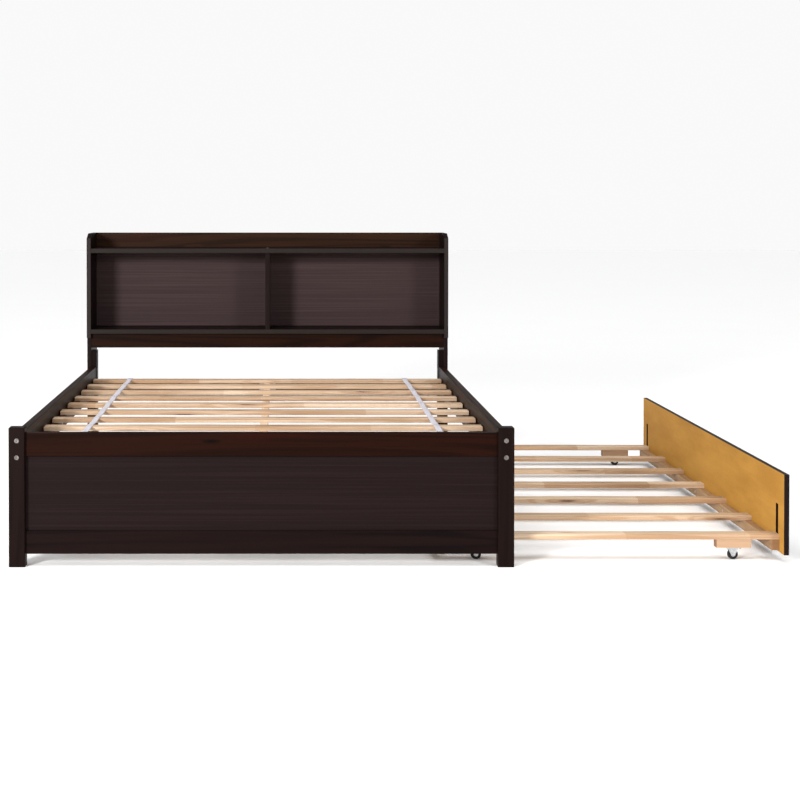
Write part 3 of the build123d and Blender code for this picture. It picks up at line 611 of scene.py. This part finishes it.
def grow(name, tree, values, points=((0, 0, 0),), aims=()):
    """Run a tree on points, each with a direction, and keep the result as a plain mesh."""
    seedbed = bpy.data.meshes.new(name + "_points")
    seedbed.from_pydata([tuple(point) for point in points], [], [])
    if aims:
        aim = seedbed.attributes.new("aim", "FLOAT_VECTOR", "POINT")
        aim.data.foreach_set("vector", [part for vector in aims for part in vector])
    carrier = bpy.data.objects.new(name + "_carrier", seedbed)
    bpy.context.scene.collection.objects.link(carrier)
    modifier = carrier.modifiers.new("grow", "NODES")
    modifier.node_group = tree
    for item in tree.interface.items_tree:
        if item.in_out == "INPUT" and item.name in values:
            modifier[item.identifier] = values[item.name]
    graph = bpy.context.evaluated_depsgraph_get()
    mesh = bpy.data.meshes.new_from_object(carrier.evaluated_get(graph))
    mesh.name = name
    bpy.data.objects.remove(carrier)
    bpy.data.meshes.remove(seedbed)
    piece = bpy.data.objects.new(name, mesh)
    bpy.context.scene.collection.objects.link(piece)
    print(name, "faces", len(mesh.polygons), "box in mm",
          [round(value / MM) for value in piece.dimensions])
    return piece


print("socket kinds", len(SOCKET))

# %% [markdown]
# A slat is a thin board with eased edges, sawn off square, and no two lie quite alike: a
# slat bows by a millimetre or so and its edge wanders. Modelling each by hand would be
# dull, so one tree makes them all. Its first part sweeps a rounded rectangle along a line.

# %% One slat
EDGE_STEPS = 3
BOARD_STATIONS = 33


def eased_board(tree, given, half):
    section = node(tree, "GeometryNodeCurvePrimitiveQuadrilateral",
                   {"Width": given["Width"], "Height": given["Thickness"]}).outputs[0]
    eased = node(tree, "GeometryNodeFilletCurve",
                 {"Curve": section, "Count": EDGE_STEPS, "Radius": given["Edge"],
                  "Limit Radius": True}, mode="POLY").outputs[0]
    end = node(tree, "ShaderNodeCombineXYZ", {"X": half}).outputs[0]
    start = node(tree, "ShaderNodeCombineXYZ", {"X": times(tree, half, -1.0)}).outputs[0]
    line = node(tree, "GeometryNodeCurvePrimitiveLine", {"Start": start, "End": end}).outputs[0]
    fine = node(tree, "GeometryNodeResampleCurve", {"Curve": line, "Count": BOARD_STATIONS}).outputs[0]
    level = node(tree, "GeometryNodeSetCurveNormal", {"Curve": fine}, mode="Z_UP").outputs[0]
    return node(tree, "GeometryNodeCurveToMesh",
                {"Curve": level, "Profile Curve": eased, "Fill Caps": True}).outputs[0]


print("a slat is swept over", BOARD_STATIONS, "stations")

# %% [markdown]
# The second part lays a copy at every step of the pitch. Each copy carries its number, so
# that the next part can tell the boards apart.

# %% A row of slats
def numbered_row(tree, given, board):
    step = node(tree, "ShaderNodeCombineXYZ", {"Y": given["Pitch"]}).outputs[0]
    row = node(tree, "GeometryNodeMeshLine",
               {"Count": given["Count"], "Start Location": given["First"], "Offset": step}).outputs[0]
    copies = node(tree, "GeometryNodeInstanceOnPoints", {"Points": row, "Instance": board}).outputs[0]
    index = node(tree, "GeometryNodeInputIndex").outputs[0]
    numbered = node(tree, "GeometryNodeStoreNamedAttribute",
                    {"Geometry": copies, "Name": "board", "Value": index},
                    data_type="FLOAT", domain="INSTANCE").outputs[0]
    return node(tree, "GeometryNodeRealizeInstances", {0: numbered}).outputs[0]


print("row ready, pitch in mm",
      round((centre(bed_slat_names[1]).y - centre(bed_slat_names[0]).y) / MM, 1))

# %% [markdown]
# The last part bends the boards. A slow wave, different on each, lifts a slat and pushes
# it sideways, and dies out at both ends. It never pushes down, so that no slat sinks into
# what carries it.

# %% The slat tree
def bow_shift(tree, given, half):
    x = axis_of(tree, node(tree, "GeometryNodeInputPosition").outputs[0], "X")
    from_middle = maths(tree, "SUBTRACT", x, axis_of(tree, given["First"], "X"))
    share = maths(tree, "DIVIDE", from_middle, half)
    free = maths(tree, "SUBTRACT", 1.0, times(tree, share, share), clamp=True)
    number = node(tree, "GeometryNodeInputNamedAttribute", {"Name": "board"},
                  data_type="FLOAT").outputs[0]

    def wander(per_board, per_metre):
        seed = plus(tree, times(tree, number, per_board), times(tree, x, per_metre))
        noise = node(tree, "ShaderNodeTexNoise", {"W": seed, "Scale": 1.0}, noise_dimensions="1D")
        swing = times(tree, maths(tree, "SUBTRACT", noise.outputs["Fac"], 0.5), free)
        return times(tree, swing, given["Bow"])

    rise = maths(tree, "MAXIMUM", wander(7.3, 1.4), 0.0)
    sway = times(tree, wander(3.1, 1.1), 2.0)
    return node(tree, "ShaderNodeCombineXYZ", {"Y": sway, "Z": rise}).outputs[0]


def slat_tree():
    tree, given = new_tree("slat_row", {
        "Count": "int", "Pitch": "float", "Length": "float", "Width": "float", "Thickness": "float",
        "Edge": "float", "Bow": "float", "First": "vector", "Material": "material"})
    half = times(tree, given["Length"], 0.5)
    boards = numbered_row(tree, given, eased_board(tree, given, half))
    bowed = node(tree, "GeometryNodeSetPosition",
                 {"Geometry": boards, "Offset": bow_shift(tree, given, half)}).outputs[0]
    close_tree(tree, bowed, given["Material"])
    return tree


slats = slat_tree()
SLAT_EDGE = 1.3 * MM


def slat_row(name, slat_names, material, bow):
    first, second = slat_names[0], slat_names[1]
    board = size(first)
    return grow(name, slats, {
        "Count": len(slat_names), "Pitch": centre(second).y - centre(first).y, "Length": board.x,
        "Width": board.y, "Thickness": board.z, "Edge": SLAT_EDGE, "Bow": bow,
        "First": centre(first), "Material": material})


print("slat tree nodes", len(slats.nodes))

# %% [markdown]
# The bed has ten slats and the trundle seven. The trundle's slats are screwed down at
# both ends, so they bow less than the loose ones above.

# %% Slats of the bed and of the trundle
bed_slats = slat_row("bed_slats", bed_slat_names, wood["pine_bed"], 2.4 * MM)
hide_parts(*bed_slat_names)
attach(bed_slats, "bed")
trundle_slats = slat_row("trundle_slats", trundle_slat_names, wood["pine_trundle"], 1.6 * MM)
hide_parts(*trundle_slat_names)
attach(trundle_slats, "trundle")

# %% [markdown]
# Screws and bolts repeat dozens of times, which is what instances are for. A fastener is
# a head with a recess cut in it, and a plain shank. The recess is a cross for a screw and
# a hexagon for a bolt.

# %% One fastener
HEAD_SIDES, SHANK_SIDES = 28, 14


def rod(tree, radius, depth, sides):
    return node(tree, "GeometryNodeMeshCylinder",
                {"Vertices": sides, "Radius": radius, "Depth": depth}).outputs[0]


def moved(tree, geometry, z, turn=0.0):
    place = node(tree, "ShaderNodeCombineXYZ", {"Z": z}).outputs[0]
    made = node(tree, "GeometryNodeTransform", {"Geometry": geometry, "Translation": place})
    made.inputs["Rotation"].default_value = (0, 0, turn)
    return made.outputs[0]


def head_with_recess(tree, given, hexagon):
    disc = rod(tree, given["Head radius"], given["Head height"], HEAD_SIDES)
    head = moved(tree, disc, times(tree, given["Head height"], -0.5))
    depth = times(tree, given["Recess depth"], 2.0)
    cut = node(tree, "GeometryNodeMeshBoolean", {"Mesh 1": head}, operation="DIFFERENCE", solver="EXACT")
    if hexagon:
        tree.links.new(rod(tree, given["Recess"], depth, 6), cut.inputs["Mesh 2"])
        return cut.outputs[0]
    bar = node(tree, "ShaderNodeCombineXYZ", {
        "X": times(tree, given["Recess"], 2.0), "Y": times(tree, given["Recess"], 0.5),
        "Z": depth}).outputs[0]
    block = node(tree, "GeometryNodeMeshCube", {"Size": bar}).outputs[0]
    tree.links.new(block, cut.inputs["Mesh 2"])
    tree.links.new(moved(tree, block, 0.0, math.radians(90)), cut.inputs["Mesh 2"])
    return cut.outputs[0]


print("fastener head sides", HEAD_SIDES)

# %% [markdown]
# The tree joins head and shank and puts a copy on every point, turned to the direction
# that is stored there.

# %% The fastener tree
def fastener_tree(name, hexagon):
    tree, given = new_tree(name, {
        "Head radius": "float", "Head height": "float", "Shank radius": "float", "Length": "float",
        "Recess": "float", "Recess depth": "float", "Material": "material"})
    head = head_with_recess(tree, given, hexagon)
    body = maths(tree, "SUBTRACT", given["Length"], given["Head height"])
    below = plus(tree, given["Head height"], times(tree, body, 0.5))
    shank = rod(tree, given["Shank radius"], body, SHANK_SIDES)
    whole = node(tree, "GeometryNodeJoinGeometry", {0: head})
    tree.links.new(moved(tree, shank, times(tree, below, -1.0)), whole.inputs[0])
    aim = node(tree, "GeometryNodeInputNamedAttribute", {"Name": "aim"},
               data_type="FLOAT_VECTOR").outputs[0]
    turn = node(tree, "FunctionNodeAlignRotationToVector", {"Vector": aim}, axis="Z").outputs[0]
    copies = node(tree, "GeometryNodeInstanceOnPoints",
                  {"Points": given["Points"], "Instance": whole.outputs[0], "Rotation": turn}).outputs[0]
    real = node(tree, "GeometryNodeRealizeInstances", {0: copies}).outputs[0]
    close_tree(tree, real, given["Material"])
    return tree


screw_machine = fastener_tree("cross_screws", hexagon=False)
bolt_machine = fastener_tree("hexagon_bolts", hexagon=True)
print("screw tree nodes", len(screw_machine.nodes), "bolt tree nodes", len(bolt_machine.nodes))

# %% [markdown]
# The model already holds every screw as a plain turned solid, so its places are read from
# there. A node of many solids is split into loose solids by following shared corners. A
# screw's long side is its axis, and its wide end is its head.

# %% Read where the screws are
END_DEPTH = 0.5 * MM


def middle_of(points):
    return sum(points, Vector()) / len(points)


def loose_solids(name):
    """The corner points of each separate solid in a node."""
    mesh = bmesh.new()
    mesh.from_mesh(nodes[name].data)
    bmesh.ops.remove_doubles(mesh, verts=mesh.verts, dist=0.00001)
    waiting = set(mesh.verts)
    solids = []
    while waiting:
        island, edge = set(), [waiting.pop()]
        while edge:
            corner = edge.pop()
            island.add(corner)
            for link in corner.link_edges:
                other = link.other_vert(corner)
                if other in waiting:
                    waiting.discard(other)
                    edge.append(other)
        solids.append([corner.co.copy() for corner in island])
    mesh.free()
    solids.sort(key=lambda points: tuple(round(value, 4) for value in middle_of(points)))
    return solids


def heads_of(name):
    """For each screw: the middle of its head's outer face, its outward way and its length."""
    found = []
    for points in loose_solids(name):
        least = Vector([min(point[axis] for point in points) for axis in range(3)])
        most = Vector([max(point[axis] for point in points) for axis in range(3)])
        extent = most - least
        axis = max(range(3), key=lambda index: extent[index])
        middle = (least + most) / 2
        along = Vector([float(index == axis) for index in range(3)])

        def girth(end):
            near = [point for point in points if abs(point[axis] - end) < END_DEPTH]
            return max((point - middle).cross(along).length for point in near)

        outward = 1.0 if girth(most[axis]) > girth(least[axis]) else -1.0
        way = along * outward
        tip = middle.copy()
        tip[axis] = most[axis] if outward > 0 else least[axis]
        found.append((tip, way, extent[axis]))
    return found


print("screws in the bed", len(heads_of("frame_screws")))

# %% [markdown]
# Each group of screws or bolts becomes one mesh on its body. In the model the screws' heads
# lie just below the wood. The slats are rebuilt without holes, so every screw is lifted
# until its head stands a hair proud. The bolts stay where the model has them.

# %% Screws and bolts
SCREW_LIFT = 0.7 * MM
SCREW = {"Head radius": 4.2 * MM, "Head height": 2.4 * MM, "Shank radius": 2.0 * MM,
         "Recess": 2.4 * MM, "Recess depth": 1.3 * MM}
BOLT = {"Head radius": 6.6 * MM, "Head height": 4.4 * MM, "Shank radius": 3.8 * MM,
        "Recess": 3.2 * MM, "Recess depth": 3.4 * MM}


def fasteners(name, node_name, machine, body, sizes, lift=0.0, finish=steel):
    heads = heads_of(node_name)
    shortest = min(length for _, _, length in heads)
    made = grow(name, machine, {**sizes, "Length": shortest, "Material": finish},
                points=[tip + way * lift for tip, way, _ in heads],
                aims=[way for _, way, _ in heads])
    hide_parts(node_name)
    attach(made, body)


fasteners("bed_frame_screws", "frame_screws", screw_machine, "bed", SCREW, SCREW_LIFT)
fasteners("bed_frame_bolts", "frame_bolts", bolt_machine, "bed", BOLT, finish=dark_steel)
fasteners("trundle_frame_screws", "trundle_screws", screw_machine, "trundle", SCREW, SCREW_LIFT)

# %% [markdown]
# Two webbing tapes hold the loose slats at their pitch, so that the set can be rolled up
# for packing. Each tape lies flat on every slat and dips a little between two. It is
# built as a strip of quads that follows the slats, and its UV map carries the weave.

# %% The tape's surface
TAPE_THICKNESS = 1.2 * MM
TAPE_LIFT = 0.4 * MM
TAPE_DIP = 2.2 * MM
TAPE_SWAY = 1.2 * MM
LANES, STEPS = 6, 260
UV_PER_METRE = 100


def tape_height(y, tops, reach):
    """Height of the tape over the slats: level on a slat, with a shallow dip between two."""
    for start, end in zip(tops[:-1], tops[1:]):
        if start + reach < y < end - reach:
            share = (y - start - reach) / (end - start - 2 * reach)
            return -TAPE_DIP * math.sin(math.pi * share)
    return 0.0


def tape_grid(mesh, bottom, top):
    tops = [centre(slat).y for slat in bed_slat_names]
    reach = size(bed_slat_names[0]).y / 2
    grid = []
    for step in range(STEPS + 1):
        y = bottom.y + (top.y - bottom.y) * step / STEPS
        sway = TAPE_SWAY * math.sin(y * 5.1 + bottom.x * 3)
        z = bottom.z + TAPE_LIFT + tape_height(y, tops, reach)
        grid.append([mesh.verts.new((bottom.x + (top.x - bottom.x) * lane / LANES + sway, y, z))
                     for lane in range(LANES + 1)])
    return grid


def tape_mesh(name, bottom, top):
    mesh = bmesh.new()
    uv = mesh.loops.layers.uv.new("tape")
    grid = tape_grid(mesh, bottom, top)
    for near, far in zip(grid[:-1], grid[1:]):
        for lane in range(LANES):
            face = mesh.faces.new((near[lane], near[lane + 1], far[lane + 1], far[lane]))
            face.smooth = True
            for loop in face.loops:
                place = (loop.vert.co - bottom) * UV_PER_METRE
                loop[uv].uv = (place.x, place.y)
    data = bpy.data.meshes.new(name)
    mesh.to_mesh(data)
    mesh.free()
    return data


print("tape grid", LANES, "by", STEPS)

# %% [markdown]
# A Solidify modifier gives the strip its thickness. The tape is cloth.

# %% Webbing tapes
def webbing_tape(name, node_name):
    bottom, top = low(node_name), high(node_name)
    data = tape_mesh(name, bottom, top)
    data.materials.append(webbing)
    piece = bpy.data.objects.new(name, data)
    bpy.context.scene.collection.objects.link(piece)
    solid = piece.modifiers.new("thickness", "SOLIDIFY")
    solid.thickness = TAPE_THICKNESS
    solid.offset = 1.0
    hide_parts(node_name)
    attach(piece, "bed")
    return piece


tapes = [webbing_tape(f"{side}_webbing_tape", f"{side}_slat_strap") for side in ("left", "right")]
print("tapes", len(tapes), "length in mm", round(size("left_slat_strap").y / MM))

# %% [markdown]
# Two wire staples pin each tape to each slat. A staple is a wire bent twice, so the tree
# sweeps a round wire along three straight sides and puts a copy at every place.

# %% Staples
STAPLE_PLACE = 0.27
CROWN_HEIGHT = 1.9 * MM


def staple_tree():
    tree, given = new_tree("wire_staples", {
        "Crown": "float", "Leg": "float", "Wire": "float", "Material": "material"})
    half = times(tree, given["Crown"], 0.5)
    minus = times(tree, half, -1.0)
    down = times(tree, given["Leg"], -1.0)
    corners = [node(tree, "ShaderNodeCombineXYZ", {"X": x, "Z": z}).outputs[0]
               for x, z in ((minus, down), (minus, 0.0), (half, 0.0), (half, down))]
    runs = node(tree, "GeometryNodeJoinGeometry")
    for start, end in zip(corners[:-1], corners[1:]):
        run = node(tree, "GeometryNodeCurvePrimitiveLine", {"Start": start, "End": end}).outputs[0]
        section = node(tree, "GeometryNodeCurvePrimitiveCircle",
                       {"Resolution": 8, "Radius": given["Wire"]}).outputs[0]
        wire = node(tree, "GeometryNodeCurveToMesh",
                    {"Curve": run, "Profile Curve": section, "Fill Caps": True}).outputs[0]
        tree.links.new(wire, runs.inputs[0])
    copies = node(tree, "GeometryNodeInstanceOnPoints",
                  {"Points": given["Points"], "Instance": runs.outputs[0]}).outputs[0]
    real = node(tree, "GeometryNodeRealizeInstances", {0: copies}).outputs[0]
    close_tree(tree, real, given["Material"])
    return tree


crossings = [(centre(strap).x, centre(slat).y + way * size(slat).y * STAPLE_PLACE,
              low(strap).z + CROWN_HEIGHT)
             for strap in ("left_slat_strap", "right_slat_strap")
             for slat in bed_slat_names for way in (-1, 1)]
staples = grow("tape_staples", staple_tree(),
               {"Crown": 11 * MM, "Leg": 6 * MM, "Wire": 0.5 * MM, "Material": steel}, points=crossings)
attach(staples, "bed")
print("staples", len(crossings))

# %% [markdown]
# The wheel is moulded plastic: a rounded tread, a dished face, a hub and thin ribs. Its
# outline is turned about the axle, which is the quickest way to any round part.

# %% The wheel's outline, turned
WHEEL_TURNS = 48


def turned_outline(radius, half_width):
    """Radius and offset along the axle, from the bore out over the tread and back."""
    bore, hub, dish = radius * 0.19, radius * 0.36, radius * 0.80
    crown = [(radius - half_width * 0.28 * (1 - math.cos(angle)), half_width * math.sin(angle))
             for angle in (math.radians(step) for step in range(-75, 76, 15))]
    near_side = [(bore, -half_width), (hub, -half_width), (hub, -half_width * 0.55),
                 (dish, -half_width * 0.55), (dish, -half_width * 0.95)]
    far_side = [(r, -w) for r, w in reversed(near_side)]
    return near_side + crown + far_side


def turn_outline(mesh, middle, outline):
    rings = []
    for turn in range(WHEEL_TURNS):
        angle = 2 * math.pi * turn / WHEEL_TURNS
        away = Vector((math.cos(angle), 0, math.sin(angle)))
        rings.append([mesh.verts.new(middle + away * r + Vector((0, w, 0))) for r, w in outline])
    for turn in range(WHEEL_TURNS):
        here, there = rings[turn], rings[(turn + 1) % WHEEL_TURNS]
        for index in range(len(outline)):
            following = (index + 1) % len(outline)
            mesh.faces.new((here[index], here[following], there[following], there[index]))


print("outline points", len(turned_outline(1.0, 0.3)))

# %% [markdown]
# The ribs are boxes laid round the hub, on both faces of the wheel. They also show that
# the wheel turns.

# %% The wheel's ribs
RIBS = 6
BOX_FACES = ((0, 1, 3, 2), (4, 6, 7, 5), (0, 4, 5, 1), (2, 3, 7, 6), (0, 2, 6, 4), (1, 5, 7, 3))


def add_rib(mesh, middle, angle, radius, half_width):
    along = Vector((math.cos(angle), 0, math.sin(angle)))
    aside = Vector((-math.sin(angle), 0, math.cos(angle))) * radius * 0.05
    for end in (-1, 1):
        verts = [mesh.verts.new(middle + along * reach + aside * edge + Vector((0, depth, 0)))
                 for reach in (radius * 0.34, radius * 0.82) for edge in (-1, 1)
                 for depth in (end * half_width * 0.5, end * half_width * 0.88)]
        for face in BOX_FACES:
            mesh.faces.new([verts[index] for index in face])


print("ribs on each face", RIBS)

# %% [markdown]
# The rounded parts are shaded smooth, and edges sharper than 35 degrees stay crisp. Each
# wheel rides on a body of its own, so that it can turn.

# %% Wheels
def wheel_mesh(name, middle, radius, half_width):
    mesh = bmesh.new()
    turn_outline(mesh, middle, turned_outline(radius, half_width))
    for rib in range(RIBS):
        add_rib(mesh, middle, math.radians(360 / RIBS * rib + 15), radius, half_width)
    bmesh.ops.recalc_face_normals(mesh, faces=mesh.faces)
    for face in mesh.faces:
        face.smooth = True
    data = bpy.data.meshes.new(name)
    mesh.to_mesh(data)
    mesh.free()
    data.set_sharp_from_angle(angle=math.radians(35))
    return data


def wheel(body):
    node_name = "caster_" + body
    name = "rolling_" + body
    extent = size(node_name)
    data = wheel_mesh(name, centre(node_name), extent.z / 2, extent.y / 2)
    data.materials.append(black_plastic)
    piece = bpy.data.objects.new(name, data)
    bpy.context.scene.collection.objects.link(piece)
    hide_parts(node_name)
    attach(piece, body)
    return piece


wheels = [wheel(body) for body in wheel_bodies]
print("wheels", len(wheels), "radius in mm", round(size("caster_wheel_foot_outer").z / 2 / MM, 1))

# %% [markdown]
# Four small pan-head screws hold each caster's plate to its block. Their places are the
# corners of the plate, a little in from its edge, and they point down.

# %% Caster screws
CORNER_INSET = 4.5 * MM
PLATE_SHEET = 2 * MM
PLATE_SCREW = {"Head radius": 3.0 * MM, "Head height": 1.2 * MM, "Shank radius": 1.5 * MM,
               "Length": 12 * MM, "Recess": 1.7 * MM, "Recess depth": 0.8 * MM, "Material": steel}
plate_corners = []
for name in sorted(nodes):
    if name.startswith("caster_fork"):
        middle = centre(name)
        reach_x = size(name).x / 2 - CORNER_INSET
        reach_y = size(name).y / 2 - CORNER_INSET
        face = high(name).z - PLATE_SHEET - PLATE_SCREW["Head height"]
        plate_corners += [(middle.x + sx * reach_x, middle.y + sy * reach_y, face)
                          for sx in (-1, 1) for sy in (-1, 1)]
plate_screws = grow("caster_plate_screws", screw_machine, PLATE_SCREW,
                    points=plate_corners, aims=[(0, 0, -1)] * len(plate_corners))
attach(plate_screws, "trundle")
print("plate screws", len(plate_corners))

# %% [markdown]
# The bed stands on a pale, matt floor that runs out of sight. It is part of the stage and
# not of the bed.

# %% Floor
FLOOR_REACH = 30.0


def floor_material():
    material, tree, shader = new_material("pale_floor")
    mottle = speckle_noise(tree, object_place(tree), 1.5, 2.0)
    set_colour(tree, shader, blend_colour(tree, mottle, (0.935, 0.935, 0.935, 1),
                                          (0.955, 0.955, 0.950, 1)))
    shader.inputs["Roughness"].default_value = 0.9
    return material


floor_mesh = bpy.data.meshes.new("studio_floor")
floor_mesh.from_pydata([(x * FLOOR_REACH, y * FLOOR_REACH, 0)
                        for x, y in ((-1, -1), (1, -1), (1, 1), (-1, 1))], [], [(0, 1, 2, 3)])
floor_mesh.materials.append(floor_material())
floor = bpy.data.objects.new("studio_floor", floor_mesh)
bpy.context.scene.collection.objects.link(floor)
print("floor side in metres", round(floor.dimensions.x))

# %% [markdown]
# Two large lights from the front corners and a wide one overhead give the soft double
# shadows inside the bookcase. A surround that is bright at the horizon, like a lit sweep,
# and dimmer overhead keeps the floor near white.

# %% Light
LEFT_POWER, RIGHT_POWER = 820, 270
CEILING_STRENGTH, CEILING_SPREAD = 2.8, 60
SOFTBOX_SIDE = 1.3


def studio_world():
    world = bpy.data.worlds.new("studio")
    world.use_nodes = True
    tree = world.node_tree
    direction = node(tree, "ShaderNodeTexCoord").outputs["Generated"]
    upward = axis_of(tree, direction, "Z")
    surround = blend_colour(tree, between(tree, upward, 0.12, 0.20),
                            (0.95, 0.95, 0.95, 1), (0.14, 0.14, 0.145, 1))
    tree.links.new(surround, tree.nodes["Background"].inputs["Color"])
    return world


def add_light(name, kind):
    data = bpy.data.lights.new(name, kind)
    light = bpy.data.objects.new(name, data)
    bpy.context.scene.collection.objects.link(light)
    return light, data


def softbox(name, place, target, power):
    light, data = add_light(name, "AREA")
    data.shape = "RECTANGLE"
    data.size = SOFTBOX_SIDE
    data.size_y = SOFTBOX_SIDE
    data.energy = power
    light.location = place
    light.rotation_euler = (Vector(target) - Vector(place)).to_track_quat("-Z", "Y").to_euler()


def ceiling_bounce(name):
    light, data = add_light(name, "SUN")
    data.energy = CEILING_STRENGTH
    data.angle = math.radians(CEILING_SPREAD)
    light.rotation_euler = (math.radians(12), math.radians(-6), 0)


bpy.context.scene.world = studio_world()
aim_point = (bed_x, foot_y + 1.2, 0.5)
softbox("left_softbox", (bed_x - 3.9, foot_y - 6.2, 2.3), aim_point, LEFT_POWER)
softbox("right_softbox", (bed_x + 4.6, foot_y - 5.8, 2.3), aim_point, RIGHT_POWER)
ceiling_bounce("ceiling_bounce")
print("lights", len(bpy.data.lights))
